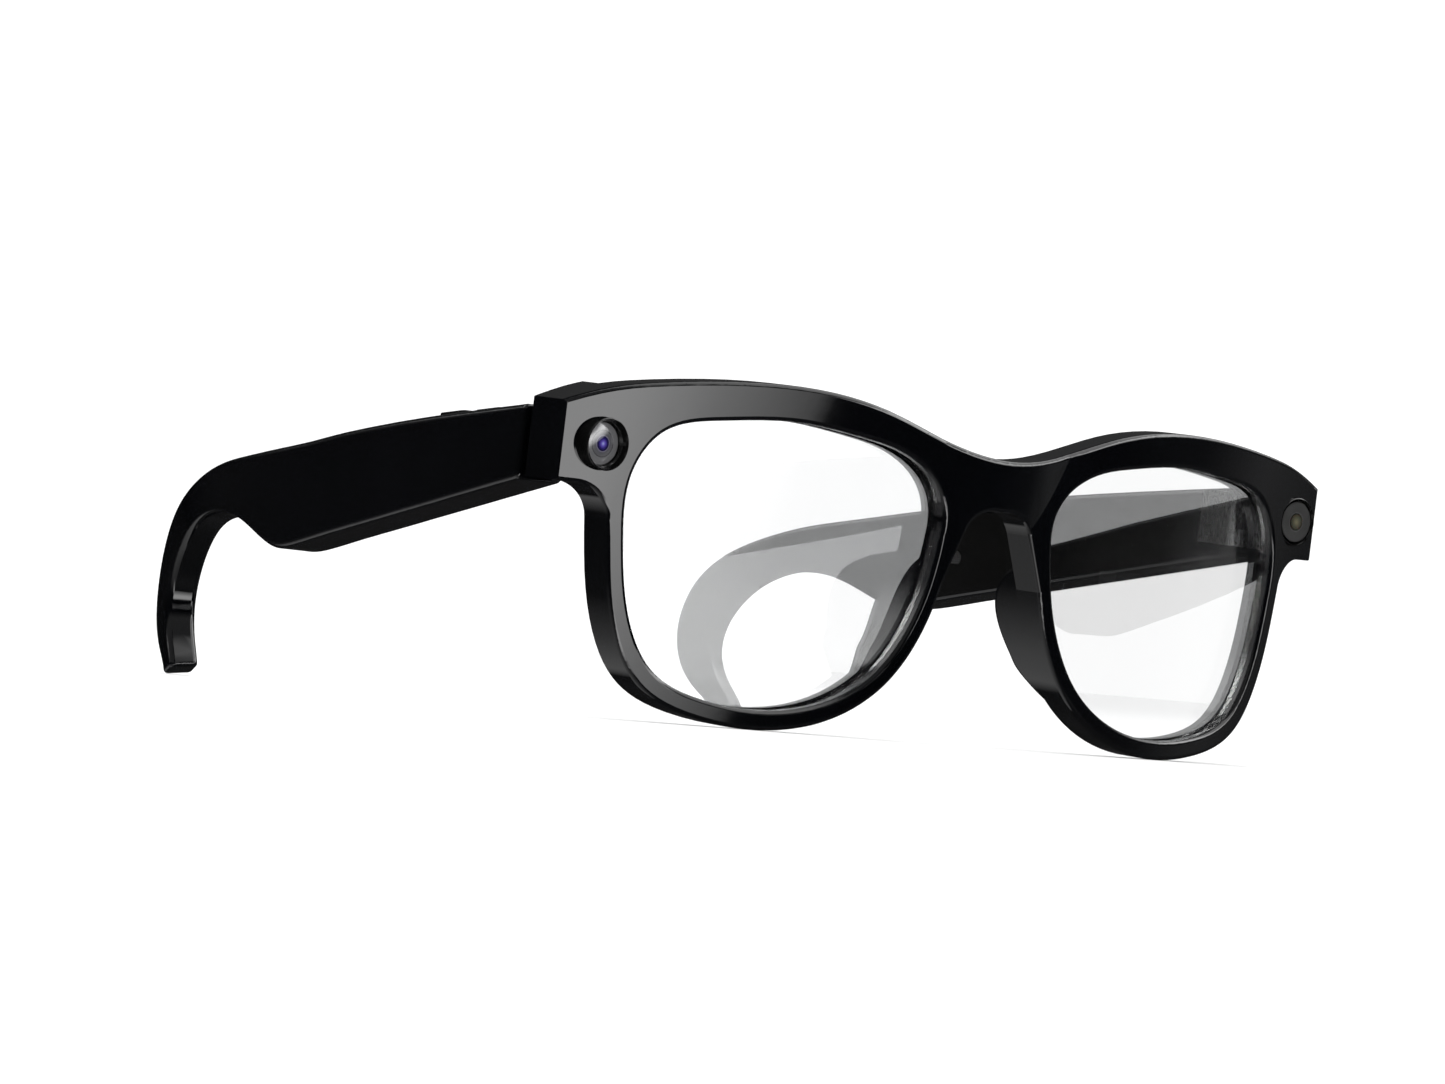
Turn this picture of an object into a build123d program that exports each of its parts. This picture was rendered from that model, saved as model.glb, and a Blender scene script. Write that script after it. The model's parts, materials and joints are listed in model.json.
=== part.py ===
from build123d import *
from math import atan2, cos, degrees, radians, sin, tan
import os

os.makedirs("parts", exist_ok=True)

# Smart glasses, open, in millimetres. The pieces are modelled with the front upright: +X across,
# +Y from the front towards the ears, +Z up, the lens centres at height 0. The last section stands
# the glasses on the lower rims and the ear tips. Left and right are the wearer's.

# --- front: driving dimensions ---
front_width = 148.0          # across both end pieces
wrap_radius = 280.0          # curve of the front face, seen from above
rim_depth = 5.0              # front to back through a rim
rim_width = 2.8              # visible band round each lens
bridge_width = 21.6          # between the two lens openings
lens_width = 52.2
lens_height = 40.4
brow_rise = 25.2             # highest point of the brow above the lens centres
bridge_rise = 18.3           # top of the bridge above the lens centres
arch_rise = 10.9             # top of the nose arch above the lens centres
end_top = 19.6               # top of the end piece at its outer edge
end_bottom = 8.5             # bottom of the end piece
end_depth = 7.3              # side face of the end piece, front to back
end_thickness = 8.0          # of an end piece and of the temple behind it
edge_round = 0.6             # rounding of the front's edges
crown_radius = 60.0          # convex crown of the bridge
crown_height = 0.9           # how far the crown stands out at the top of the bridge
crown_lean = 4.0             # degrees; the crown fades out downwards

# --- lenses ---
lens_setback = 1.5           # lens face behind the front face
lens_thickness = 2.0
groove_depth = 0.6
lens_gap = 0.05              # between a lens and its groove

# --- nose pads ---
pad_top = 3.6
pad_bottom = -15.5
pad_depth = 5.8              # behind the rim

# --- camera and light modules ---
module_inset = 6.0           # module axis inside the side face
module_z = 14.2
module_bore = 7.4
module_gap = 0.05
ring_back = 1.2              # back of a trim ring behind the face
ring_inner = 3.1
ring_mouth = 0.35            # widening of the ring's mouth
ring_cone = 0.7              # depth of the mouth
lens_sink = 1.6              # edge of the camera lens behind the ring's lip
dome_height = 0.45
dome_radius = 10.5
window_sink = 0.25
light_radius = 1.35
camera_lip = 1.45            # ring lip in front of the face, at the module axis
light_lip = 0.5
module_floor = 3.6           # bore floor behind the face, at the module axis

# --- brow channel and its cover ---
cover_thickness = 1.0
cover_gap = 0.06
channel_floor = 1.5          # plastic left in front of the channel
cover_margin = 1.1           # plastic left round the cover
cover_inset = 14.0           # ends of the cover inside the side faces

# --- hinges ---
hinge_gap = 1.3              # between the end piece and the temple
pin_inset = 1.8              # pin axis inside the inner walls
knuckle_radius = 1.7
hinge_height = 8.0
hinge_z = 13.4
knuckle_gap = 0.05
pin_radius = 0.7
pin_running = 0.03
pin_head = 1.15
pin_head_height = 0.6
leaf_thickness = 1.0
leaf_gap = 0.05
front_leaf_length = 4.4
leaf_screw_pitch = 4.2
leaf_screw_radius = 0.5
leaf_screw_length = 2.6

# --- temples ---
tip_thickness = 4.7
toe_in = 7.8                 # degrees
temple_reach = 67.4          # straight stretch behind the hinge gap
ear_radius = 190.0           # inward curve of the ear end, seen from above
temple_top = 18.45
temple_bottom = 7.9
heel_top = 7.0               # top edge just behind the bend
heel_bottom = -6.4           # bottom edge just before the bend
button_slope = 0.13          # fall of the top edge over the buttons
tip_low = -29.5              # ear tip
temple_round = 0.9           # rounding of the long edges
front_end_round = 0.5
tip_round = 0.6
cavity_start = 12.0
cavity_short = 3.9           # end of the bay in front of the bend
temple_bay = 12.0            # deeper than the temple is thick
leaf_start = 1.25
temple_leaf_length = 7.0
wall = 1.8
outer_wall = 1.4
lid_thickness = 1.2
lid_gap = 0.06
ledge = 0.9                  # seat of the lid round the cavity

# --- buttons ---
button_length = 7.0
button_width = 2.6
button_travel = 0.3
button_gap = 0.08
capture_proud = 0.7
mode_proud = 0.5
capture_at = 24.8            # along the temple, from its front end
mode_at = 15.0
button_wall = 1.5            # temple wall over a button's flange
flange_thickness = 0.6

# --- electronics ---
board_at = 22.8
board_depth = 4.2            # below the top edge of the temple
board_length = 17.4
board_height = 5.0
board_thickness = 0.8
battery_at = 42.0
battery_length = 18.0
battery_height = 8.0
battery_thickness = 4.4
speaker_short = 5.9          # middle of the speaker in front of the bay's end
speaker_length = 10.0
speaker_height = 8.4
speaker_thickness = 3.6
window_length = 6.4
window_height = 2.2
contact_radius = 1.0

half = front_width / 2
end_inner = half - end_thickness
module_x = half - module_inset
cover_end = half - cover_inset
cavity_end = temple_reach - cavity_short
speaker_at = cavity_end - speaker_short
lens_x = (bridge_width + lens_width) / 2
side_y = half**2 / (2 * wrap_radius)
block_back = side_y + end_depth
temple_front = block_back + hinge_gap
pin_x = end_inner - pin_inset
pin_y = block_back + hinge_gap / 2
module_y = module_x**2 / (2 * wrap_radius)
slope_x, slope_y = sin(radians(toe_in)), cos(radians(toe_in))


def face_plane(y):
    """Front view at depth y: sketch x across, sketch y up, normal towards the viewer."""
    return Plane(origin=(0, y, 0), x_dir=(1, 0, 0), z_dir=(0, -1, 0))


def side_plane(x):
    """Side view at x: sketch x towards the ears, sketch y up, normal towards +X."""
    return Plane(origin=(x, 0, 0), x_dir=(0, 1, 0), z_dir=(1, 0, 0))


def arm_plane(inward, along=0.0, tilt=0.0, height=0.0):
    """Side view of the +X temple: sketch x along it, sketch y up, normal outwards."""
    rise, run = sin(radians(tilt)), cos(radians(tilt))
    return Plane(
        origin=(half - slope_x * along - slope_y * inward,
                temple_front + slope_y * along - slope_x * inward, height),
        x_dir=(-slope_x * run, slope_y * run, rise), z_dir=(slope_y, slope_x, 0))


def wrap_slab(front, back):
    """Curved sheet between two depths behind the front face."""
    with BuildPart() as slab:
        with BuildSketch(Plane.XY.offset(-60)):
            with Locations((0, wrap_radius)):
                Circle(wrap_radius - front)
                Circle(wrap_radius - back, mode=Mode.SUBTRACT)
            with Locations((0, 20)):
                Rectangle(200, 60, mode=Mode.INTERSECT)
        extrude(amount=120)
    return slab.part


# Lens opening as fractions of its half width and half height, from the nose side over the top.
opening_shape = [
    (-1.00, 0.35), (-0.93, 0.68), (-0.72, 0.86), (-0.40, 0.95), (0.02, 1.00), (0.50, 0.95),
    (0.84, 0.82), (0.99, 0.50), (0.99, 0.08), (0.91, -0.43), (0.73, -0.80), (0.42, -0.96),
    (0.04, -1.00), (-0.38, -0.89), (-0.72, -0.59), (-0.91, -0.17),
]


def opening(grow=0.0):
    """Outline of the +X lens opening, its band widened all round by grow."""
    with BuildSketch() as sketch:
        with BuildLine():
            Spline(*[(lens_x + u * (lens_width / 2 + grow), v * (lens_height / 2 + grow))
                     for u, v in opening_shape], periodic=True)
        make_face()
    return sketch.sketch


def both_openings(grow=0.0):
    return opening(grow) + mirror(opening(grow), about=Plane.YZ)


def brow_line(drop=0.0):
    """Upper edge of the +X half of the front, lowered by drop."""
    return Spline(
        (0, bridge_rise - drop), (0.15 * half, bridge_rise + 1.7 - drop),
        (0.30 * half, brow_rise - 1.9 - drop), (0.57 * half, brow_rise - drop),
        (0.81 * half, brow_rise - 1.7 - drop), (half, end_top - drop),
        tangents=[(1, 0), (1, -0.42)])


def front_outline():
    """Front view of rims, bridge and end pieces as one face, without the lens openings."""
    with BuildSketch() as sketch:
        with BuildLine():
            brow = brow_line()
            Polyline(brow @ 1, (half, end_bottom), (end_inner - 6, end_bottom),
                     (lens_x, 0), (12, -6), (0, -6), brow @ 0)
        make_face()
        mirror(about=Plane.YZ)
        with BuildSketch(mode=Mode.SUBTRACT) as arch:
            Polygon((-4.9, arch_rise), (4.9, arch_rise), (12, -6.2), (-12, -6.2), align=None)
            fillet(arch.vertices().group_by(Axis.Y)[-1], radius=4.8)
        add(opening(rim_width))
        add(mirror(opening(rim_width), about=Plane.YZ, mode=Mode.PRIVATE))
        corners = sketch.vertices().filter_by(
            lambda v: abs(v.Y - end_bottom) < 0.01 and abs(v.X) < half - 1)
        fillet(corners, radius=5.0)
    return sketch.sketch


outline = front_outline()


def mirrored(part):
    """The mirror image on the -X side."""
    return mirror(part, about=Plane.YZ)


def on_rounded_edge(edge):
    """Edges of the front face, and the outer ones at the back of the end pieces."""
    points = [edge @ t for t in (0.02, 0.3, 0.5, 0.98)]
    at_front = all(point.Y < point.X**2 / (2 * wrap_radius) + 0.3 for point in points)
    at_back = all(point.Y > block_back - 0.01 and abs(point.X) > end_inner + 0.1 for point in points)
    return at_front or at_back


def lens_blank(shrink, grow):
    """A +X lens with its flange, smaller by shrink or grown as a groove."""
    with BuildPart() as blank:
        with BuildSketch(face_plane(-5)):
            add(opening(groove_depth - shrink + grow))
        extrude(amount=-40)
        sheet = wrap_slab(lens_setback - grow, lens_setback + lens_thickness + grow)
        add(sheet, mode=Mode.INTERSECT)
    return blank.part


def brow_plate(ledge, front, back):
    """Curved plate along the inside of the brow, inset all round by ledge."""
    with BuildPart() as plate:
        with BuildSketch(face_plane(-5)):
            with BuildLine():
                top = brow_line(cover_margin + ledge)
                Polyline(top @ 1, (half, arch_rise + cover_margin + ledge),
                         (0, arch_rise + cover_margin + ledge), top @ 0)
            make_face()
            mirror(about=Plane.YZ)
            Rectangle(2 * (cover_end - ledge), 80, mode=Mode.INTERSECT)
            add(both_openings(groove_depth + cover_margin + ledge), mode=Mode.SUBTRACT)
        extrude(amount=-40)
        add(wrap_slab(front, back), mode=Mode.INTERSECT)
    return plate.part


def front_leaf_plate(gap):
    """Plate of the front hinge leaf in the inner wall of the +X end piece."""
    with BuildPart() as plate:
        with BuildSketch(Plane(origin=(end_inner, 0, 0), x_dir=(0, 1, 0), z_dir=(1, 0, 0))):
            with Locations((block_back - front_leaf_length / 2, hinge_z)):
                Rectangle(front_leaf_length + 2 * gap, hinge_height + 2 * gap)
        extrude(amount=leaf_thickness + gap)
    return plate.part


def front_leaf_screws(head=False):
    """Two short screws through the front leaf into the +X end piece."""
    with BuildPart() as screws:
        for z in (hinge_z - leaf_screw_pitch / 2, hinge_z + leaf_screw_pitch / 2):
            start = Plane(
                origin=(end_inner, block_back - front_leaf_length / 2 - 0.3, z), z_dir=(1, 0, 0))
            with BuildSketch(start):
                Circle(leaf_screw_radius)
            extrude(amount=leaf_screw_length)
            if head:
                with BuildSketch(start):
                    Circle(2 * leaf_screw_radius)
                with BuildSketch(start.offset(leaf_screw_radius)):
                    Circle(leaf_screw_radius)
                loft()
    return screws.part


with BuildPart() as front_frame:
    add(wrap_slab(0, rim_depth))
    with BuildPart(mode=Mode.PRIVATE) as end_blocks:
        add(wrap_slab(0, end_depth + 2))
        block_x = half - end_thickness / 2
        block_z = end_bottom + 30
        with Locations((block_x, block_back - 10, block_z), (-block_x, block_back - 10, block_z)):
            Box(end_thickness, 20, 60, mode=Mode.INTERSECT)
    add(end_blocks.part)
    # Crown of the bridge: a leaning cylinder that stands out in front of the face.
    crown_tilt = radians(crown_lean)
    crown_axis = Plane(
        origin=(0, crown_radius * cos(crown_tilt) - crown_height,
                bridge_rise + crown_radius * sin(crown_tilt)),
        x_dir=(1, 0, 0), z_dir=(0, -sin(crown_tilt), cos(crown_tilt)))
    with BuildPart(mode=Mode.PRIVATE) as crown:
        with BuildSketch(crown_axis.offset(-40)):
            Circle(crown_radius)
        extrude(amount=80)
        with Locations((0, 0, 15)):
            Box(30, 6, 20, mode=Mode.INTERSECT)
    add(crown.part)
    with BuildSketch(face_plane(-5)):
        add(outline)
        add(both_openings(), mode=Mode.SUBTRACT)
    extrude(amount=-40, mode=Mode.INTERSECT)
    fillet(front_frame.edges().filter_by(on_rounded_edge), radius=edge_round)
    # Bores of the two modules.
    with BuildSketch(face_plane(-5)):
        with Locations((module_x, module_z), (-module_x, module_z)):
            Circle(module_bore / 2)
    extrude(amount=-(5 + module_y + module_floor), mode=Mode.SUBTRACT)
    # Lens grooves.
    add(lens_blank(0, lens_gap), mode=Mode.SUBTRACT)
    add(mirrored(lens_blank(0, lens_gap)), mode=Mode.SUBTRACT)
    # Channel in the back of the brow, and the seat of its cover.
    add(brow_plate(ledge=0.7, front=channel_floor, back=rim_depth + 1), mode=Mode.SUBTRACT)
    add(brow_plate(ledge=0, front=rim_depth - cover_thickness, back=rim_depth + 1), mode=Mode.SUBTRACT)
    # Pockets of the hinge leaves and pilot holes of their screws.
    for cut in (front_leaf_plate(leaf_gap), front_leaf_screws()):
        add(cut, mode=Mode.SUBTRACT)
        add(mirrored(cut), mode=Mode.SUBTRACT)

with BuildPart() as brow_cover:
    add(brow_plate(ledge=cover_gap, front=rim_depth - cover_thickness, back=rim_depth))

with BuildPart() as front_flex:
    add(brow_plate(ledge=0.75, front=channel_floor + 0.3, back=channel_floor + 0.6))

with BuildPart() as lens_left:
    add(lens_blank(lens_gap, 0))

with BuildPart() as nose_pad_left:
    with BuildSketch(face_plane(0)):
        add(opening(rim_width - 0.1))
        add(opening(0.2), mode=Mode.SUBTRACT)
        with Locations((bridge_width / 2 + 5, (pad_top + pad_bottom) / 2)):
            Rectangle(18, pad_top - pad_bottom, mode=Mode.INTERSECT)
    extrude(amount=-30)
    add(wrap_slab(rim_depth, 25), mode=Mode.INTERSECT)
    with BuildSketch(side_plane(0)):
        with BuildLine():
            swell = Spline(
                (rim_depth + 0.6, pad_top), (rim_depth + 0.75 * pad_depth, pad_top - 2.6),
                (rim_depth + pad_depth, 0.35 * pad_top + 0.65 * pad_bottom + 5),
                (rim_depth + 0.8 * pad_depth, pad_bottom + 6), (rim_depth + 1.2, pad_bottom),
                tangents=[(1, -0.5), (-0.8, -1)])
            Polyline(swell @ 1, (0, pad_bottom), (0, pad_top), swell @ 0)
        make_face()
    extrude(amount=40, mode=Mode.INTERSECT)
    rear_edges = nose_pad_left.edges().filter_by(
        lambda e: e.length > 12 and (e @ 0.5).Y > rim_depth + 0.5 * pad_depth)
    fillet(rear_edges, radius=0.9)


def module_place(y, side=1):
    """Plane across a module axis, y behind the face there, normal forwards."""
    return Plane(origin=(side * module_x, module_y + y, module_z), x_dir=(1, 0, 0), z_dir=(0, -1, 0))


def module_ring(lip, side):
    """Trim ring in a module bore: a lip in front of the face with a coned mouth."""
    with BuildPart() as part:
        with BuildSketch(module_place(ring_back, side)):
            Circle(module_bore / 2 - module_gap)
            Circle(ring_inner, mode=Mode.SUBTRACT)
        extrude(amount=ring_back + lip)
        chamfer(part.edges().group_by(Axis.Y)[0].sort_by(SortBy.RADIUS)[0], ring_cone, ring_mouth)
        fillet(part.edges().group_by(Axis.Y)[0].sort_by(SortBy.RADIUS)[-1], radius=0.15)
    return part.part


with BuildPart() as camera_ring:
    add(module_ring(camera_lip, -1))

with BuildPart() as camera_lens:
    with BuildSketch(module_place(ring_back - module_gap, -1)):
        Circle(ring_inner - module_gap)
    extrude(amount=ring_back - module_gap + camera_lip - lens_sink)
    dome_y = module_y - camera_lip + lens_sink - dome_height + dome_radius
    with BuildPart(mode=Mode.PRIVATE) as dome:
        with Locations((-module_x, dome_y, module_z)):
            Sphere(dome_radius)
        with BuildSketch(module_place(-camera_lip + lens_sink, -1)):
            Circle(ring_inner - module_gap)
        extrude(amount=1.0, mode=Mode.INTERSECT)
    add(dome.part)

with BuildPart() as camera_barrel:
    with BuildSketch(module_place(2.4, -1)):
        Circle(module_bore / 2 - 0.4)
        Circle(1.9, mode=Mode.SUBTRACT)
    extrude(amount=2.4 - ring_back)

with BuildPart() as camera_board:
    with BuildSketch(module_place(3.4, -1)):
        Circle(module_bore / 2 - 0.3)
    extrude(amount=0.8)
    with BuildSketch(module_place(2.6, -1)):
        Rectangle(2.4, 2.4)
    extrude(amount=0.7)

with BuildPart() as light_ring:
    add(module_ring(light_lip, 1))

with BuildPart() as light_window:
    with BuildSketch(module_place(window_sink - light_lip + 0.9, 1)):
        Circle(ring_inner - module_gap)
        Circle(light_radius, mode=Mode.SUBTRACT)
    extrude(amount=0.9)

with BuildPart() as light_lens:
    with BuildSketch(module_place(window_sink - light_lip + 0.9, 1)):
        Circle(light_radius - 0.03)
    extrude(amount=0.95)

with BuildPart() as light_board:
    with BuildSketch(module_place(3.4, 1)):
        Circle(module_bore / 2 - 0.3)
    extrude(amount=0.8)
    with BuildSketch(module_place(2.6, 1)):
        Rectangle(2.0, 2.0)
    extrude(amount=0.9)


# --- hinges ---
def knuckle(low, high, neck_from, neck_to, hole):
    """Eye round the pin axis between two heights, with a neck to its plate."""
    with BuildPart() as eye:
        with BuildSketch(Plane.XY.offset(low)):
            with Locations((pin_x, pin_y)):
                Circle(knuckle_radius)
            neck_x = end_inner + 0.5 - pin_x
            with Locations((pin_x + neck_x / 2, (neck_from + neck_to) / 2)):
                Rectangle(neck_x, neck_to - neck_from)
            with Locations((pin_x, pin_y)):
                Circle(hole, mode=Mode.SUBTRACT)
        extrude(amount=high - low)
    return eye.part


hinge_low = hinge_z - hinge_height / 2
hinge_high = hinge_z + hinge_height / 2
eye_height = (hinge_height - 2 * knuckle_gap) / 3

with BuildPart() as hinge_front_leaf_left:
    add(front_leaf_plate(0))
    for low, high, hole in (
            (hinge_low, hinge_low + eye_height, pin_radius),
            (hinge_high - eye_height, hinge_high, pin_radius + pin_running)):
        add(knuckle(low, high, block_back - 2.2, block_back, hole))
    with BuildSketch(Plane(origin=(pin_x, pin_y, hinge_high))):
        Circle(pin_head + 0.05)
    extrude(amount=-pin_head_height - 0.05, mode=Mode.SUBTRACT)
    add(front_leaf_screws(head=True), mode=Mode.SUBTRACT)

with BuildPart() as pin_left:
    with BuildSketch(Plane(origin=(pin_x, pin_y, hinge_low + 0.4))):
        Circle(pin_radius)
    extrude(amount=hinge_height - 0.4 - pin_head_height)
    with BuildSketch(Plane(origin=(pin_x, pin_y, hinge_high - pin_head_height))):
        Circle(pin_head)
    extrude(amount=pin_head_height)
    with BuildSketch(Plane(origin=(pin_x, pin_y, hinge_high))):
        Rectangle(2 * pin_head, 0.3)
    extrude(amount=-0.25, mode=Mode.SUBTRACT)


# --- temples, built on the +X side ---
inner_face = end_thickness * slope_y
middle = (outer_wall + inner_face - lid_thickness) / 2
bend_y = temple_front + temple_reach
bend_drift = temple_reach * tan(radians(toe_in))
top_fall = (temple_top - heel_top) / (temple_reach + 3) * slope_y
bottom_fall = (temple_bottom - heel_bottom) / (temple_reach - 7) * slope_y
button_fall = button_slope * slope_y
belly_slope = (temple_bottom - heel_bottom) / (temple_reach - 6.5)
top_sag = temple_top - button_slope * (temple_reach - 6) - heel_top - 1.7


def temple_stations():
    """Top and bottom points of the temple's cross-sections: (run behind the front end, height)."""
    reach = temple_reach
    body = []
    for step in range(7):
        run = step / 7 * (reach - 6)
        top = temple_top - button_slope * run - top_sag * (step / 7) ** 3
        body.append(((run, top), (run, temple_bottom - belly_slope * run)))
    return body + [
        ((reach - 6.0, heel_top + 1.7), (reach - 6.5, heel_bottom - 0.1)),
        ((reach + 2.5, heel_top + 0.1), (reach - 0.5, heel_bottom - 0.95)),
        ((reach + 11.0, heel_top - 1.5), (reach + 5.5, heel_bottom + 0.3)),
        ((reach + 20.0, heel_top - 3.35), (reach + 12.5, heel_bottom + 2.2)),
        ((reach + 30.0, heel_top - 6.8), (reach + 21.0, heel_bottom + 2.4)),
        ((reach + 38.0, heel_top - 12.0), (reach + 29.0, heel_bottom - 0.5)),
        ((reach + 42.0, tip_low + 17.4), (reach + 34.4, tip_low + 16.9)),
        ((reach + 42.2, tip_low + 10.3), (reach + 36.0, tip_low + 11.2)),
        ((reach + 39.0, tip_low + 4.6), (reach + 34.3, tip_low + 6.2)),
        ((reach + 34.4, tip_low + 0.2), (reach + 31.2, tip_low + 1.8)),
    ]


def temple_plan(run):
    """Outer face and thickness of the temple seen from above, at a run behind its front end."""
    thin = min(1.0, max(0.0, run - temple_reach + 12) / 42)
    thickness = end_thickness - (end_thickness - tip_thickness) * thin * thin * (3 - 2 * thin)
    past = run - temple_reach
    if past <= 0:
        return half - tan(radians(toe_in)) * run, thickness
    turn = past + ear_radius * slope_x
    return half - bend_drift - ear_radius * slope_y + (ear_radius**2 - turn**2) ** 0.5, thickness


def temple_section(top, bottom):
    """Plane across the temple through a top and a bottom point, with its thickness and height."""
    ends = []
    for run, height in (top, bottom):
        outer, thickness = temple_plan(run)
        ends.append(Vector(outer - thickness / 2, temple_front + run, height))
    up = ends[0] - ends[1]
    thickness = temple_plan((top[0] + bottom[0]) / 2)[1]
    across = Vector(1, 0, 0) - up * (up.X / up.length**2)
    place = Plane(origin=(ends[0] + ends[1]) * 0.5, x_dir=across, z_dir=across.cross(up))
    return place, thickness, up.length


def cavity_outline(grow):
    """Side view of the electronics bay in arm coordinates, grown all round."""
    start, end = cavity_start - grow, cavity_end + grow
    low, high = temple_bottom + wall - grow, temple_top - wall + grow
    with BuildSketch() as sketch:
        Polygon((start, low - bottom_fall * start), (end, low - bottom_fall * end),
                (end, high - top_fall * end), (start, high - top_fall * start), align=None)
        fillet(sketch.vertices(), radius=1.4 + grow / 2)
    return sketch.sketch


def centre_height(along):
    """Height of the bay's centreline."""
    return (temple_top + temple_bottom - (top_fall + bottom_fall) * along) / 2


def temple_body():
    """Solid temple, edges rounded, bay and hinge leaf pocket cut."""
    with BuildPart() as body:
        for top, bottom in temple_stations():
            place, thickness, height = temple_section(top, bottom)
            with BuildSketch(place):
                RectangleRounded(thickness, height, temple_round)
        loft()
        ends = body.faces().filter_by(GeomType.PLANE).sort_by(Axis.Y)
        fillet(ends[0].edges(), radius=front_end_round)
        fillet(body.faces().filter_by(GeomType.PLANE).sort_by(Axis.Y)[-1].edges(), radius=tip_round)
        with BuildSketch(arm_plane(outer_wall)):
            add(cavity_outline(0))
        extrude(amount=-temple_bay, mode=Mode.SUBTRACT)
        with BuildSketch(arm_plane(inner_face - lid_thickness)):
            add(cavity_outline(ledge))
        extrude(amount=-temple_bay, mode=Mode.SUBTRACT)
        add(temple_leaf_plate(leaf_gap), mode=Mode.SUBTRACT)
        add(temple_leaf_screws(), mode=Mode.SUBTRACT)
    return body.part


def temple_leaf_plate(gap):
    """Plate of the temple's hinge leaf, let into the inner face."""
    with BuildPart() as plate:
        with BuildSketch(arm_plane(inner_face - leaf_thickness - gap)):
            with Locations((leaf_start + temple_leaf_length / 2, hinge_z)):
                Rectangle(temple_leaf_length + 2 * gap, hinge_height + 2 * gap)
        extrude(amount=-(leaf_thickness + gap + (1 if gap else 0)))
    return plate.part


def temple_leaf_screws(head=False):
    """Two short screws through the temple leaf into the shell."""
    with BuildPart() as screws:
        for z in (hinge_z - leaf_screw_pitch / 2, hinge_z + leaf_screw_pitch / 2):
            base = arm_plane(inner_face, leaf_start + temple_leaf_length - 2, 0, z)
            start = Plane(origin=base.origin, z_dir=base.z_dir)
            with BuildSketch(start):
                Circle(leaf_screw_radius)
            extrude(amount=leaf_screw_length)
            if head:
                with BuildSketch(start):
                    Circle(2 * leaf_screw_radius)
                with BuildSketch(start.offset(leaf_screw_radius)):
                    Circle(leaf_screw_radius)
                loft()
    return screws.part


speaker_spot = (speaker_at, centre_height(speaker_at))
contact_spots = [(along, centre_height(along) - 1.5) for along in (16.0, 19.5, 23.0)]


def temple_lid():
    """Flat lid over the electronics bay, with the speaker window."""
    with BuildPart() as lid:
        with BuildSketch(arm_plane(inner_face - lid_thickness)):
            add(cavity_outline(ledge - lid_gap))
            with Locations(speaker_spot):
                SlotOverall(window_length, window_height, mode=Mode.SUBTRACT)
        extrude(amount=-lid_thickness)
    return lid.part


def block_in_bay(along, length, height, thickness, round_edges):
    """Rounded block in the middle of the bay, in line with it."""
    slope = -degrees(atan2((top_fall + bottom_fall) / 2, 1))
    with BuildPart() as block:
        with BuildSketch(arm_plane(middle, along, slope, centre_height(along))):
            Rectangle(length, height)
        extrude(amount=thickness / 2, both=True)
        fillet(block.edges(), radius=round_edges)
    return block.part


def button_plane(along, depth):
    """Plane along the top edge of the temple, depth below its surface, normal upwards."""
    top = temple_top - button_fall * along
    side = arm_plane(middle, along, -degrees(atan2(button_fall, 1)), top)
    return Plane(origin=side.origin - side.y_dir * depth, x_dir=side.x_dir, z_dir=side.y_dir)


def button_cap(along, proud):
    """Button with its flange."""
    with BuildPart() as cap:
        with BuildSketch(button_plane(along, button_wall)):
            RectangleRounded(button_length, button_width, 0.8)
        extrude(amount=button_wall + proud)
        fillet(cap.faces().sort_by(Axis.Z)[-1].edges(), radius=0.2)
        with BuildSketch(button_plane(along, button_wall + button_gap)):
            RectangleRounded(button_length + 1.2, button_width + 1.2, 0.8)
        extrude(amount=-flange_thickness)
        with BuildSketch(button_plane(along, button_wall + button_gap)):
            RectangleRounded(button_length, button_width, 0.8)
        extrude(amount=button_gap)
    return cap.part


def button_well(along):
    """Space of a button and its flange in the temple shell."""
    flange_lip = 1.2 + 2 * button_gap
    with BuildPart() as well:
        with BuildSketch(button_plane(along, button_wall + 0.2)):
            RectangleRounded(button_length + 2 * button_gap, button_width + 2 * button_gap, 0.88)
        extrude(amount=button_wall + 3)
        with BuildSketch(button_plane(along, button_wall)):
            RectangleRounded(button_length + flange_lip, button_width + flange_lip, 0.88)
        extrude(amount=-3.5)
    return well.part


def switch(along):
    """Push switch under a button."""
    top = button_wall + button_gap + flange_thickness + button_travel + 0.05
    with BuildPart() as part:
        with BuildSketch(button_plane(along, top)):
            Circle(0.7)
        extrude(amount=-0.4)
        with BuildSketch(button_plane(along, top + 0.4)):
            Rectangle(3.0, 2.0)
        extrude(amount=-(board_depth - top - 0.4))
    return part.part


with BuildPart() as temple_left_shell:
    add(temple_body())

with BuildPart() as temple_left_lid:
    add(temple_lid())

with BuildPart() as temple_right_shell:
    add(temple_body())
    add(button_well(capture_at), mode=Mode.SUBTRACT)
    add(button_well(mode_at), mode=Mode.SUBTRACT)

with BuildPart() as temple_right_lid:
    add(temple_lid())
    with BuildSketch(arm_plane(inner_face - lid_thickness)):
        with Locations(*contact_spots):
            Circle(contact_radius + 0.03)
    extrude(amount=-lid_thickness, mode=Mode.SUBTRACT)

with BuildPart() as charge_contacts:
    with BuildSketch(arm_plane(inner_face - lid_thickness)):
        with Locations(*contact_spots):
            Circle(contact_radius)
    extrude(amount=-lid_thickness)

with BuildPart() as capture_button:
    add(button_cap(capture_at, capture_proud))

with BuildPart() as mode_button:
    add(button_cap(mode_at, mode_proud))

with BuildPart() as button_switches:
    add(switch(capture_at))
    add(switch(mode_at))

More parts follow.
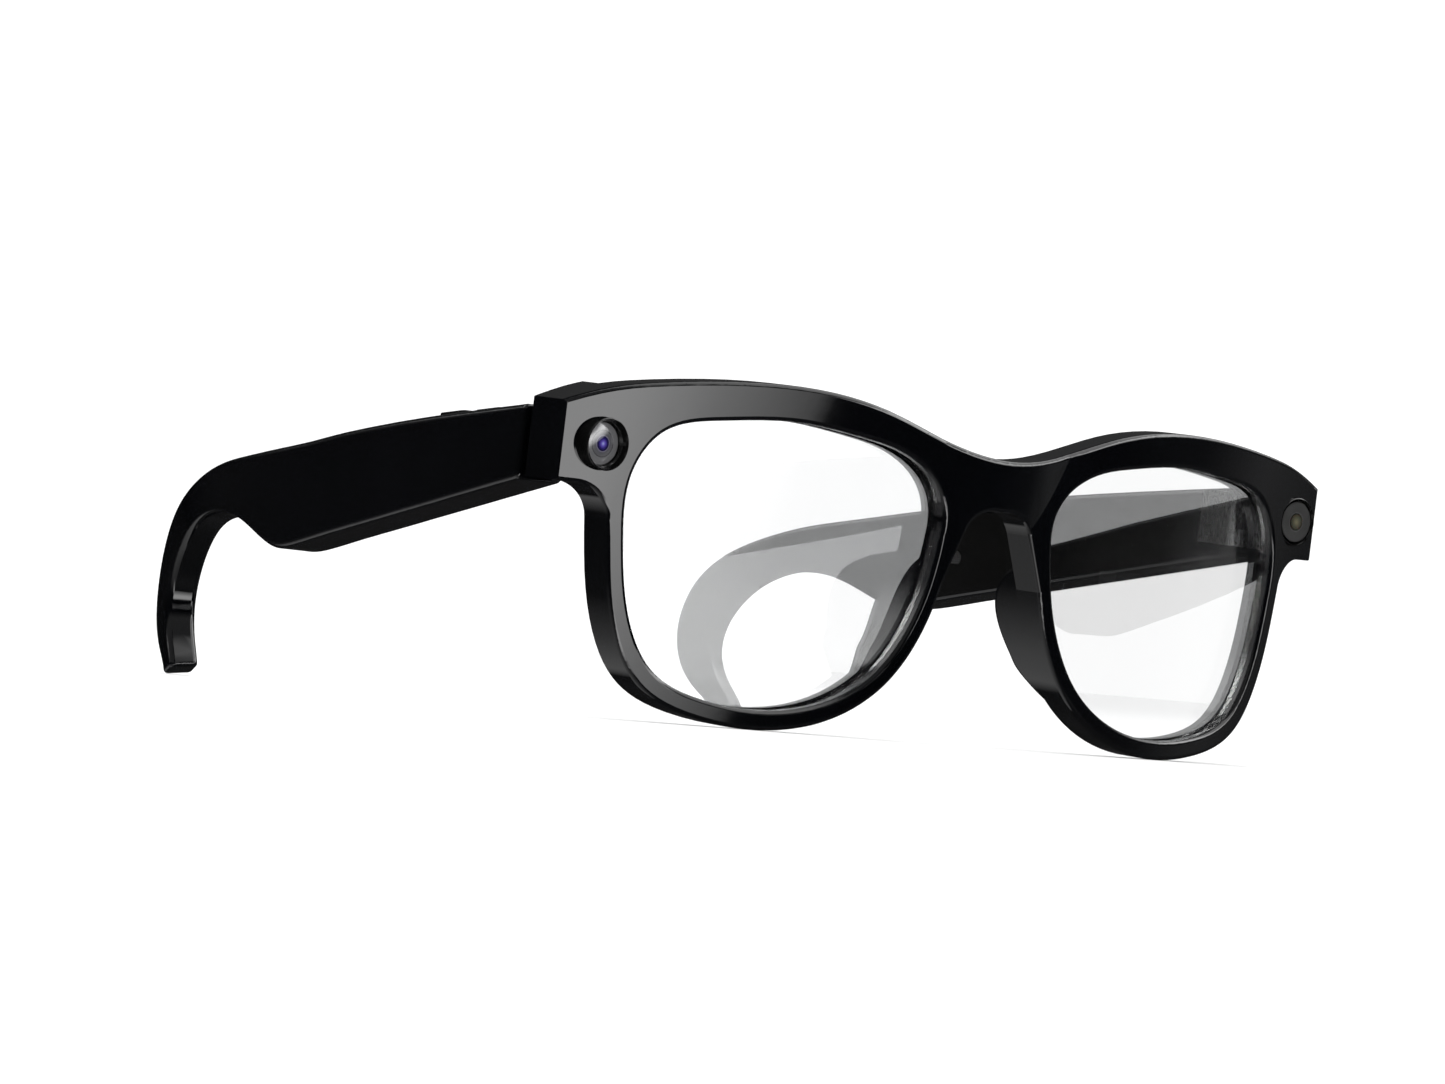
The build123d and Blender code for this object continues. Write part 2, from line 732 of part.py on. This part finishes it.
with BuildPart() as main_board:
    with BuildSketch(button_plane(board_at, board_depth)):
        Rectangle(board_length, board_thickness)
    extrude(amount=-board_height)
    base = button_plane(board_at - 4, board_depth + board_height / 2)
    with BuildSketch(Plane(origin=base.origin, x_dir=base.x_dir, z_dir=-base.y_dir)):
        RectangleRounded(6, 3.6, 0.2)
    extrude(amount=board_thickness / 2 + 1.0)

with BuildPart() as battery_left:
    add(block_in_bay(battery_at, battery_length, battery_height, battery_thickness, 1.0))

with BuildPart() as speaker_left:
    add(block_in_bay(speaker_at, speaker_length, speaker_height, speaker_thickness, 0.6))
    with BuildSketch(arm_plane(middle + speaker_thickness / 2, 0)):
        with Locations(speaker_spot):
            Ellipse(3.2, 2.4)
    extrude(amount=-0.3)

with BuildPart() as speaker_mesh_left:
    with BuildSketch(arm_plane(inner_face - lid_thickness)):
        with Locations(speaker_spot):
            SlotOverall(window_length - 0.08, window_height - 0.08)
    extrude(amount=-0.6)

with BuildPart() as hinge_temple_leaf_left:
    add(temple_leaf_plate(0))
    add(knuckle(hinge_low + eye_height + knuckle_gap, hinge_high - eye_height - knuckle_gap,
                temple_front + 0.35, temple_front + 2.0, pin_radius + pin_running))
    add(temple_leaf_screws(head=True), mode=Mode.SUBTRACT)

with BuildPart() as leaf_screws_left:
    add(temple_leaf_screws(head=True))

with BuildPart() as front_screws_left:
    add(front_leaf_screws(head=True))


# --- one node for each piece, stood on the lower rims and the ear tips ---
def pair(part):
    """The piece and its mirror image, as two solids of one node."""
    return Compound(children=part.solids() + mirrored(part).solids())


pieces = {
    "front_frame": front_frame.part,
    "brow_cover": brow_cover.part,
    "front_flex": front_flex.part,
    "lens_left": lens_left.part,
    "lens_right": mirrored(lens_left.part),
    "nose_pad_left": nose_pad_left.part,
    "nose_pad_right": mirrored(nose_pad_left.part),
    "camera_ring": camera_ring.part,
    "camera_lens": camera_lens.part,
    "camera_barrel": camera_barrel.part,
    "camera_board": camera_board.part,
    "light_ring": light_ring.part,
    "light_window": light_window.part,
    "light_lens": light_lens.part,
    "light_board": light_board.part,
    "hinge_front_leaf_left": hinge_front_leaf_left.part,
    "hinge_front_leaf_right": mirrored(hinge_front_leaf_left.part),
    "hinge_front_screws": pair(front_screws_left.part),
    "hinge_pins": pair(pin_left.part),
    "temple_left_shell": temple_left_shell.part,
    "temple_left_lid": temple_left_lid.part,
    "speaker_left": speaker_left.part,
    "speaker_mesh_left": speaker_mesh_left.part,
    "battery_left": battery_left.part,
    "board_left": main_board.part,
    "hinge_temple_leaf_left": hinge_temple_leaf_left.part,
    "hinge_temple_screws_left": leaf_screws_left.part,
    "temple_right_shell": mirrored(temple_right_shell.part),
    "temple_right_lid": mirrored(temple_right_lid.part),
    "speaker_right": mirrored(speaker_left.part),
    "speaker_mesh_right": mirrored(speaker_mesh_left.part),
    "battery_right": mirrored(battery_left.part),
    "board_right": mirrored(main_board.part),
    "button_switches": mirrored(button_switches.part),
    "charge_contacts": mirrored(charge_contacts.part),
    "hinge_temple_leaf_right": mirrored(hinge_temple_leaf_left.part),
    "hinge_temple_screws_right": mirrored(leaf_screws_left.part),
    "capture_button": mirrored(capture_button.part),
    "mode_button": mirrored(mode_button.part),
}

rim_drop = -lens_height / 2 - rim_width
tip_drop = temple_left_shell.part.bounding_box().min.Z
tip_y = bend_y + 32.5
stand_angle = degrees(atan2(rim_drop - tip_drop, tip_y - lens_x**2 / (2 * wrap_radius)))
leaned = {name: Rotation(stand_angle, 0, 0) * part for name, part in pieces.items()}
boxes = [part.bounding_box() for part in leaned.values()]
low_z = min(box.min.Z for box in boxes)
mid_y = (min(box.min.Y for box in boxes) + max(box.max.Y for box in boxes)) / 2
for name, part in leaned.items():
    piece = Location((0, -mid_y, -low_z)) * part
    piece.label = name
    export_step(piece, f"parts/{name}.step")
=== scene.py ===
import bpy
import json
from math import cos, pi, radians, sin
from mathutils import Matrix, Vector


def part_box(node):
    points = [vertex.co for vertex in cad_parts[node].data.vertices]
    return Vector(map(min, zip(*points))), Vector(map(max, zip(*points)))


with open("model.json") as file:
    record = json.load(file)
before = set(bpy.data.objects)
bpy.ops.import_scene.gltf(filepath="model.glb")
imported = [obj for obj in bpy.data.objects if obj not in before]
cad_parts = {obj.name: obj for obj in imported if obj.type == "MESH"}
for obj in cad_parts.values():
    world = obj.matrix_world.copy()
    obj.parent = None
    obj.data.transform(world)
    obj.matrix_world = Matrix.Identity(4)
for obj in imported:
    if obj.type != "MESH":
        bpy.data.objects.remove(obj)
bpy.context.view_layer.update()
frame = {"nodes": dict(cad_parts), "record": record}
nodes = frame["nodes"]
LEAN = radians(3.1148)              # the front as it stands, leaning back
SHIFT = Vector((0, -0.063875, 0.022817))  # from the upright front's origin to the frame's
ROOM_STRENGTH = 5.8                 # of what the polish reflects
DAYLIGHT = 1.2                      # of the white background
FLOOR_HALF = 4                      # metres
LIT_SPOT = Vector((0, -0.03, 0.02))  # where the softboxes point
MODULE_GLASS = 0.00305              # radius of the glass in a trim ring
LIGHT_LENS = 0.00132                # radius of the small lens of the light


def leaned(v):
    """A direction of the upright front, turned with the glasses as they stand."""
    return Matrix.Rotation(LEAN, 3, "X") @ Vector(v)


# ---------------------------------------------------------------- node helpers
class Tree:
    """Small helper that adds and links shader nodes."""

    def __init__(self, name):
        self.mat = bpy.data.materials.new(name)
        self.mat.use_nodes = True
        self.tree = self.mat.node_tree
        self.bsdf = self.tree.nodes["Principled BSDF"]

    def node(self, kind, **values):
        n = self.tree.nodes.new(kind)
        for key, value in values.items():
            setattr(n, key, value)
        return n

    def link(self, a, b):
        self.tree.links.new(a, b)

    def coords(self):
        return self.node("ShaderNodeTexCoord").outputs["Object"]

    def noise(self, scale, detail=4.0, rough=0.5, vector=None):
        n = self.node("ShaderNodeTexNoise")
        n.inputs["Scale"].default_value = scale
        n.inputs["Detail"].default_value = detail
        n.inputs["Roughness"].default_value = rough
        self.link(vector or self.coords(), n.inputs["Vector"])
        return n.outputs["Fac"]

    def ramp(self, fac, stops):
        n = self.node("ShaderNodeValToRGB")
        els = n.color_ramp.elements
        while len(els) < len(stops):
            els.new(0.5)
        for el, (pos, col) in zip(els, stops):
            el.position = pos
            el.color = (col[0], col[1], col[2], 1.0) if hasattr(col, "__len__") else (col, col, col, 1.0)
        self.link(fac, n.inputs["Fac"])
        return n.outputs["Color"]

    def span(self, fac, low, high, to_low=0.0, to_high=1.0):
        n = self.node("ShaderNodeMapRange")
        for key, value in (("From Min", low), ("From Max", high), ("To Min", to_low), ("To Max", to_high)):
            n.inputs[key].default_value = value
        self.link(fac, n.inputs["Value"])
        return n.outputs["Result"]

    def bump(self, height, distance, strength):
        n = self.node("ShaderNodeBump")
        n.inputs["Strength"].default_value = strength
        n.inputs["Distance"].default_value = distance
        self.link(height, n.inputs["Height"])
        return n.outputs["Normal"]

    def radius(self, centre):
        """Distance from an axis through centre that runs straight out of the front."""
        m = self.node("ShaderNodeMapping", vector_type="TEXTURE")
        m.inputs["Location"].default_value = centre
        m.inputs["Rotation"].default_value = (LEAN, 0, 0)
        self.link(self.coords(), m.inputs["Vector"])
        flat = self.node("ShaderNodeVectorMath", operation="MULTIPLY")
        flat.inputs[1].default_value = (1, 0, 1)
        self.link(m.outputs["Vector"], flat.inputs[0])
        length = self.node("ShaderNodeVectorMath", operation="LENGTH")
        self.link(flat.outputs["Vector"], length.inputs[0])
        return length.outputs["Value"]


def set_values(bsdf, **values):
    for key, value in values.items():
        bsdf.inputs[key.replace("_", " ")].default_value = value


def gloss_plastic(name, dark, light, rough):
    """Polished moulded plastic: faint mottling, handling haze and orange peel."""
    t = Tree(name)
    cloud = t.noise(35, 3)
    t.link(t.ramp(cloud, [(0.35, dark), (0.68, light)]), t.bsdf.inputs["Base Color"])
    haze = t.noise(90, 5, 0.65)
    t.link(t.span(haze, 0.3, 0.75, rough * 0.75, rough * 1.5), t.bsdf.inputs["Roughness"])
    t.link(t.bump(t.noise(260, 2), 0.00001, 0.3), t.bsdf.inputs["Normal"])
    set_values(t.bsdf, IOR=1.5)
    return t.mat


def matte_plastic(name, dark, light, rough=0.5):
    t = Tree(name)
    t.link(t.ramp(t.noise(60, 4), [(0.35, dark), (0.65, light)]), t.bsdf.inputs["Base Color"])
    t.link(t.span(t.noise(200, 3), 0.3, 0.7, rough * 0.85, rough * 1.15), t.bsdf.inputs["Roughness"])
    t.link(t.bump(t.noise(1500, 2), 0.00004, 0.5), t.bsdf.inputs["Normal"])
    return t.mat


def metal(name, dark, light, rough=0.25, stretch=(1, 12, 1)):
    t = Tree(name)
    m = t.node("ShaderNodeMapping")
    m.inputs["Scale"].default_value = stretch
    t.link(t.coords(), m.inputs["Vector"])
    grain = t.noise(900, 3, 0.6, m.outputs["Vector"])
    t.link(t.ramp(grain, [(0.3, dark), (0.7, light)]), t.bsdf.inputs["Base Color"])
    t.link(t.span(grain, 0.3, 0.7, rough * 0.7, rough * 1.4), t.bsdf.inputs["Roughness"])
    t.link(t.bump(grain, 0.00002, 0.4), t.bsdf.inputs["Normal"])
    set_values(t.bsdf, Metallic=1.0)
    return t.mat


def clear_lens(name):
    """Clear lens with a faint cool tint and a wiped film."""
    t = Tree(name)
    t.link(t.ramp(t.noise(14, 2), [(0.3, (0.955, 0.985, 1.0)), (0.7, (0.975, 0.993, 1.0))]),
           t.bsdf.inputs["Base Color"])
    t.link(t.span(t.noise(45, 4), 0.4, 0.8, 0.005, 0.03), t.bsdf.inputs["Roughness"])
    set_values(t.bsdf, IOR=1.5, Transmission_Weight=1.0, Alpha=0.24)
    return t.mat


def centre_of(node):
    low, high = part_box(node)
    return (low + high) / 2


def camera_glass(name):
    """Coated lens: silvery dome, fine inner ring and a dark pupil with a painted violet-blue reflection,
    brightest at its centre.
    """
    t = Tree(name)
    r = t.radius(centre_of("camera_ring"))
    shade = t.span(r, 0.0, MODULE_GLASS)
    # Base colour by distance from the centre of the ring. The violet-blue that is brightest in the middle of
    # the pupil is a painted reflection of the lens coating; the rings, the grey dome and the dark outer pupil
    # are the lens's own colours.
    t.link(t.ramp(shade, [
        (0.0, (0.30, 0.34, 0.60)), (0.10, (0.10, 0.07, 0.36)), (0.22, (0.02, 0.014, 0.10)),
        (0.33, (0.006, 0.005, 0.03)), (0.35, (0.16, 0.15, 0.20)), (0.40, (0.07, 0.07, 0.08)),
        (0.57, (0.09, 0.09, 0.095)), (0.60, (0.025, 0.025, 0.03)), (0.63, (0.12, 0.12, 0.125)),
        (0.93, (0.16, 0.16, 0.165)), (0.97, (0.03, 0.03, 0.03)), (1.0, (0.01, 0.01, 0.01)),
    ]), t.bsdf.inputs["Base Color"])
    t.link(t.ramp(shade, [(0.0, 0.03), (0.36, 0.03), (0.37, 0.16), (0.95, 0.22)]), t.bsdf.inputs["Roughness"])
    t.link(t.bump(t.noise(700, 2), 0.00001, 0.2), t.bsdf.inputs["Normal"])
    set_values(t.bsdf, Metallic=0.15, Coat_Weight=1.0, Coat_Roughness=0.02)
    return t.mat


def light_grey(name):
    """Satin window round the small lens of the light."""
    t = Tree(name)
    r = t.radius(centre_of("light_ring"))
    t.link(t.ramp(t.span(r, 0.0, MODULE_GLASS), [
        (0.0, 0.008), (0.44, 0.008), (0.46, 0.05), (0.49, 0.012), (0.92, 0.016), (0.97, 0.003)]),
        t.bsdf.inputs["Base Color"])
    t.link(t.span(t.noise(300, 3), 0.3, 0.7, 0.28, 0.42), t.bsdf.inputs["Roughness"])
    t.link(t.bump(t.noise(1800, 2), 0.00002, 0.4), t.bsdf.inputs["Normal"])
    return t.mat


def light_amber(name):
    """Translucent olive-grey lens with a painted glow: its colour is brightest at the centre and fades to
    near black at the edge.
    """
    t = Tree(name)
    r = t.radius(centre_of("light_ring"))
    # Painted glow: the base colour is brightest at the centre of the lens and darkens towards its edge.
    t.link(t.ramp(t.span(r, 0.0, LIGHT_LENS), [
        (0.0, (0.10, 0.09, 0.055)), (0.45, (0.05, 0.047, 0.03)), (0.8, (0.025, 0.024, 0.016)),
        (1.0, (0.006, 0.006, 0.005)),
    ]), t.bsdf.inputs["Base Color"])
    t.link(t.span(t.noise(500, 2), 0.3, 0.7, 0.12, 0.25), t.bsdf.inputs["Roughness"])
    set_values(t.bsdf, Subsurface_Weight=0.3, Subsurface_Scale=0.0005, Coat_Weight=0.5)
    return t.mat


def circuit(name):
    t = Tree(name)
    cells = t.node("ShaderNodeTexVoronoi", feature="DISTANCE_TO_EDGE")
    cells.inputs["Scale"].default_value = 900
    t.link(t.coords(), cells.inputs["Vector"])
    t.link(t.ramp(cells.outputs["Distance"], [(0.02, (0.05, 0.22, 0.10)), (0.06, (0.012, 0.09, 0.045))]),
           t.bsdf.inputs["Base Color"])
    t.link(t.span(t.noise(600, 2), 0.3, 0.7, 0.3, 0.45), t.bsdf.inputs["Roughness"])
    return t.mat


def mesh_metal(name):
    """Fine woven mesh."""
    t = Tree(name)
    wires = []
    for direction in ("Y", "Z"):
        w = t.node("ShaderNodeTexWave", bands_direction=direction, wave_profile="SIN")
        w.inputs["Scale"].default_value = 900
        t.link(t.coords(), w.inputs["Vector"])
        wires.append(w.outputs["Fac"])
    both = t.node("ShaderNodeMath", operation="MAXIMUM")
    t.link(wires[0], both.inputs[0])
    t.link(wires[1], both.inputs[1])
    t.link(t.ramp(both.outputs[0], [(0.55, 0.004), (0.85, 0.16)]), t.bsdf.inputs["Base Color"])
    t.link(t.bump(both.outputs[0], 0.0001, 1.0), t.bsdf.inputs["Normal"])
    set_values(t.bsdf, Metallic=0.9, Roughness=0.35)
    return t.mat


black = gloss_plastic("black_gloss", (0.0009, 0.001, 0.0014), (0.0016, 0.0018, 0.0024), 0.045)
finishes = {
    "frame_black": black,
    "lid_black": gloss_plastic("black_lid", 0.002, 0.004, 0.12),
    "button_black": gloss_plastic("black_button", 0.002, 0.004, 0.09),
    "ring_black": gloss_plastic("black_ring", 0.0015, 0.003, 0.06),
    "lens_clear": clear_lens("clear_lens"),
    "camera_glass": camera_glass("camera_dome"),
    "barrel_black": matte_plastic("barrel_matte", 0.006, 0.012),
    "light_window_grey": light_grey("light_window_satin"),
    "light_lens_amber": light_amber("light_lens_resin"),
    "circuit_board": circuit("circuit_green"),
    "flex_cable": matte_plastic("flex_film", (0.35, 0.15, 0.03), (0.5, 0.24, 0.06), 0.35),
    "hinge_steel": metal("hinge_steel", 0.30, 0.45, 0.28),
    "screw_steel": metal("screw_steel", 0.4, 0.55, 0.22, (8, 8, 1)),
    "pin_steel": metal("pin_steel", 0.45, 0.6, 0.2, (1, 1, 14)),
    "battery_foil": metal("battery_foil", 0.45, 0.6, 0.35, (1, 1, 1)),
    "speaker_black": matte_plastic("speaker_case", 0.01, 0.02),
    "mesh_steel": mesh_metal("speaker_mesh"),
    "switch_metal": metal("switch_metal", 0.4, 0.6, 0.3),
    "contact_gold": metal("contact_gold", (0.7, 0.45, 0.12), (0.95, 0.68, 0.25), 0.18),
}
for part in frame["record"]["subparts"]:
    obj = nodes[part["node"]]
    obj.data.materials.clear()
    obj.data.materials.append(finishes[part["material_slot"]])

# ---------------------------------------------------------------- camera
yaw, pitch, roll = radians(40.41), radians(-1.32), radians(-6.89)
forward = Vector((sin(yaw) * cos(pitch), cos(yaw) * cos(pitch), sin(pitch)))
side = Vector((cos(yaw), -sin(yaw), 0))
down = forward.cross(side)
right_dir = side * cos(roll) + down * sin(roll)
down_dir = down * cos(roll) - side * sin(roll)
eye = leaned((-0.5855, -0.6273, 0.0217)) + SHIFT
axes = [leaned(right_dir), leaned(-down_dir), leaned(-forward)]
camera_data = bpy.data.cameras.new("camera")
camera_data.sensor_width = 36
camera_data.lens = 149.5
camera_data.clip_start = 0.01
camera = bpy.data.objects.new("camera", camera_data)
bpy.context.scene.collection.objects.link(camera)
turn = Matrix(axes).transposed().to_4x4()
camera.matrix_world = Matrix.Translation(eye) @ turn
bpy.context.scene.camera = camera

# ---------------------------------------------------------------- floor and light
floor_mesh = bpy.data.meshes.new("floor")
corners = [(x * FLOOR_HALF, y * FLOOR_HALF, 0) for x, y in ((-1, -1), (1, -1), (1, 1), (-1, 1))]
floor_mesh.from_pydata(corners, [], [(0, 1, 2, 3)])
floor = bpy.data.objects.new("floor", floor_mesh)
bpy.context.scene.collection.objects.link(floor)
t = Tree("pale_floor")
t.link(t.ramp(t.noise(3, 2), [(0.3, 0.88), (0.7, 0.9)]), t.bsdf.inputs["Base Color"])
set_values(t.bsdf, Roughness=0.9, Specular_IOR_Level=0.1)
floor_mesh.materials.append(t.mat)
floor.visible_glossy = False


def softbox(name, azimuth, elevation, distance, width, height, strength):
    """Area light: azimuth 0 is straight in front of the glasses, positive towards +X."""
    data = bpy.data.lights.new(name, "AREA")
    data.shape = "RECTANGLE"
    data.size, data.size_y = width, height
    data.energy = strength * width * height * pi
    a, e = radians(azimuth), radians(elevation)
    back = Vector((sin(a) * cos(e), -cos(a) * cos(e), sin(e)))
    light = bpy.data.objects.new(name, data)
    bpy.context.scene.collection.objects.link(light)
    light.visible_glossy = False
    right = Vector((cos(a), sin(a), 0))
    up = back.cross(right)
    base = Matrix((right, up, back)).transposed().to_4x4()
    light.matrix_world = Matrix.Translation(LIT_SPOT + back * distance) @ base


softbox("key", 12, 20, 1.2, 0.7, 0.9, 1.0)
softbox("top", 150, 75, 1.2, 1.0, 1.0, 1.4)
softbox("left", -110, 25, 1.2, 0.5, 1.0, 0.8)
softbox("rear", 170, 20, 1.4, 1.2, 0.5, 0.8)

world = bpy.data.worlds.new("studio")
bpy.context.scene.world = world
world.use_nodes = True
wt = world.node_tree
wt.nodes.clear()
out = wt.nodes.new("ShaderNodeOutputWorld")
white = wt.nodes.new("ShaderNodeBackground")
white.inputs["Color"].default_value = (1, 1, 1, 1)
white.inputs["Strength"].default_value = DAYLIGHT
# What the polish reflects: a dim studio with a tall softbox in front, a pale ceiling and floor.
room = wt.nodes.new("ShaderNodeBackground")
room.inputs["Strength"].default_value = ROOM_STRENGTH


def world_math(operation, *values, clamp=False):
    n = wt.nodes.new("ShaderNodeMath")
    n.operation = operation
    n.use_clamp = clamp
    for socket, value in zip(n.inputs, values):
        if isinstance(value, (int, float)):
            socket.default_value = value
        else:
            wt.links.new(value, socket)
    return n.outputs[0]


def world_ramp(value, low, high, stops):
    n = wt.nodes.new("ShaderNodeValToRGB")
    els = n.color_ramp.elements
    while len(els) < len(stops):
        els.new(0.5)
    for el, (at, grey) in zip(els, stops):
        el.position = (at - low) / (high - low)
        el.color = (grey, grey, grey, 1)
    wt.links.new(world_math("MULTIPLY_ADD", value, 1 / (high - low), -low / (high - low)), n.inputs["Fac"])
    return n.outputs["Color"]


where = wt.nodes.new("ShaderNodeTexCoord")
split = wt.nodes.new("ShaderNodeSeparateXYZ")
wt.links.new(where.outputs["Generated"], split.inputs[0])
elevation = world_math("MULTIPLY", world_math("ARCSINE", split.outputs["Z"]), 180 / pi)
azimuth = world_math("MULTIPLY", world_math(
    "ARCTAN2", split.outputs["X"], world_math("MULTIPLY", split.outputs["Y"], -1.0)), 180 / pi)
slanted = world_math("SUBTRACT", azimuth, world_math("MULTIPLY_ADD", elevation, 1.55, 4.0))
softbox_part = world_ramp(slanted, -180, 180, [
    (-180, 0.0), (0, 0.0), (5, 0.95), (13.2, 0.95), (19.6, 0.55), (27.1, 0.19), (27.5, 0.0),
    (50, 0.0), (61, 0.006), (67, 0.035), (74, 0.014), (180, 0.0)])
height_part = world_ramp(elevation, -90, 90, [
    (-90, 0.0), (-40, 0.0), (-22, 1.0), (30, 1.0), (45, 0.0), (90, 0.0)])
band = world_math("MULTIPLY", softbox_part, height_part)
below = world_ramp(elevation, -90, 90, [
    (-90, 0.16), (-34, 0.11), (-16, 0.008), (0, 0.003), (14, 0.0), (90, 0.0)])
above = world_ramp(elevation, -90, 90, [
    (-90, 0.0), (10, 0.0), (20, 0.02), (32, 0.42), (60, 0.36), (90, 0.2)])
around = world_ramp(azimuth, -180, 180, [
    (-180, 0.012), (-173, 1.0), (-135, 1.0), (-120, 0.12), (10, 0.12), (25, 1.0), (112, 1.0), (125, 0.012),
    (180, 0.012)])
ceiling = world_math("MULTIPLY", above, around)
beside = world_ramp(azimuth, -180, 180, [
    (-180, 0.1), (-172, 1.0), (-120, 1.0), (-20, 0.5), (5, 0.08), (180, 0.05)])
ground = world_math("MULTIPLY", below, beside)
wt.links.new(world_math("ADD", world_math("ADD", band, ceiling), ground), room.inputs["Color"])
path = wt.nodes.new("ShaderNodeLightPath")
# Only reflected rays see the studio: rays refracted by the lenses see the white background.
reflected = world_math(
    "SUBTRACT", path.outputs["Is Glossy Ray"], path.outputs["Is Transmission Ray"], clamp=True)
mix = wt.nodes.new("ShaderNodeMixShader")
wt.links.new(reflected, mix.inputs[0])
wt.links.new(white.outputs[0], mix.inputs[1])
wt.links.new(room.outputs[0], mix.inputs[2])
wt.links.new(mix.outputs[0], out.inputs["Surface"])
bpy.context.scene.view_settings.view_transform = "Standard"
